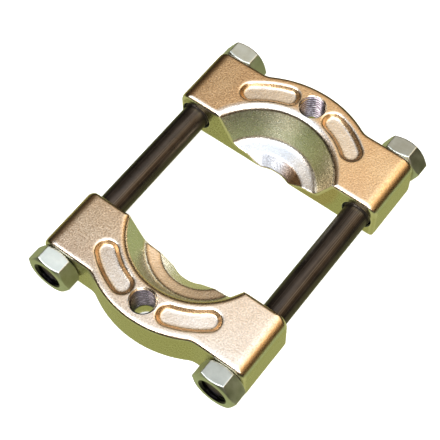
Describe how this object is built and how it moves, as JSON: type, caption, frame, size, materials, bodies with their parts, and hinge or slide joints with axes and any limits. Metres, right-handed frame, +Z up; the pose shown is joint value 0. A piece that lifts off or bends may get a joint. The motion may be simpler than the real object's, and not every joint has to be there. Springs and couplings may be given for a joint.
{
  "type": "bearing separator",
  "caption": "Split puller plate with knife-edged recesses: forged halves drawn together on threaded studs by hexagon nuts, with tapped holes for puller legs.",
  "frame": {"origin": "centre of the plan on the flat underside, where the tool lies on a bench", "axes": "+X from the left stud to the right stud, +Y along the studs from the front half to the rear half, +Z up out of the recesses"},
  "size_m": [0.146, 0.1896, 0.0285],
  "materials": {
    "forged_plate": "forged steel, yellow zinc plated, satin with a fine forged grain",
    "black_stud": "black oxide steel, lightly oiled",
    "zinc_nut": "zinc plated steel, bluish white with a faint green-yellow tint"
  },
  "bodies": {
    "front_half": {"front_half": "forged_plate"},
    "rear_half": {"rear_half": "forged_plate"},
    "left_stud": {"left_stud": "black_stud"},
    "right_stud": {"right_stud": "black_stud"},
    "front_left_nut": {"front_left_nut": "zinc_nut"},
    "front_right_nut": {"front_right_nut": "zinc_nut"},
    "rear_left_nut": {"rear_left_nut": "zinc_nut"},
    "rear_right_nut": {"rear_right_nut": "zinc_nut"}
  },
  "joints": [
    {"name": "left_stud_slide", "type": "slide", "parent": "front_half", "child": "left_stud", "axis": [0, -1, 0], "range_m": [0, 0.0405]},
    {"name": "right_stud_slide", "type": "slide", "parent": "front_half", "child": "right_stud", "axis": [0, -1, 0], "range_m": [0, 0.0405]},
    {"name": "front_left_nut_turn", "type": "hinge", "parent": "front_half", "child": "front_left_nut", "pos_m": [-0.058, -0.0889, 0.01395], "axis": [0, 1, 0], "range_deg": [0, 5832]},
    {"name": "front_right_nut_turn", "type": "hinge", "parent": "front_half", "child": "front_right_nut", "pos_m": [0.058, -0.0889, 0.01395], "axis": [0, 1, 0], "range_deg": [0, 5832]},
    {"name": "rear_half_slide", "type": "slide", "parent": "left_stud", "child": "rear_half", "axis": [0, -1, 0], "range_m": [0, 0.0405]},
    {"name": "rear_left_nut_turn", "type": "hinge", "parent": "rear_half", "child": "rear_left_nut", "pos_m": [-0.058, 0.0889, 0.01395], "axis": [0, -1, 0], "range_deg": [0, 5832]},
    {"name": "rear_right_nut_turn", "type": "hinge", "parent": "rear_half", "child": "rear_right_nut", "pos_m": [0.058, 0.0889, 0.01395], "axis": [0, -1, 0], "range_deg": [0, 5832]}
  ],
  "couplings": [
    {"joint": "right_stud_slide", "follows": "left_stud_slide", "ratio": 1},
    {"joint": "front_left_nut_turn", "follows": "left_stud_slide", "rad_per_m": 2513.3},
    {"joint": "front_right_nut_turn", "follows": "left_stud_slide", "rad_per_m": 2513.3},
    {"joint": "rear_left_nut_turn", "follows": "rear_half_slide", "rad_per_m": 2513.3},
    {"joint": "rear_right_nut_turn", "follows": "rear_half_slide", "rad_per_m": 2513.3}
  ]
}
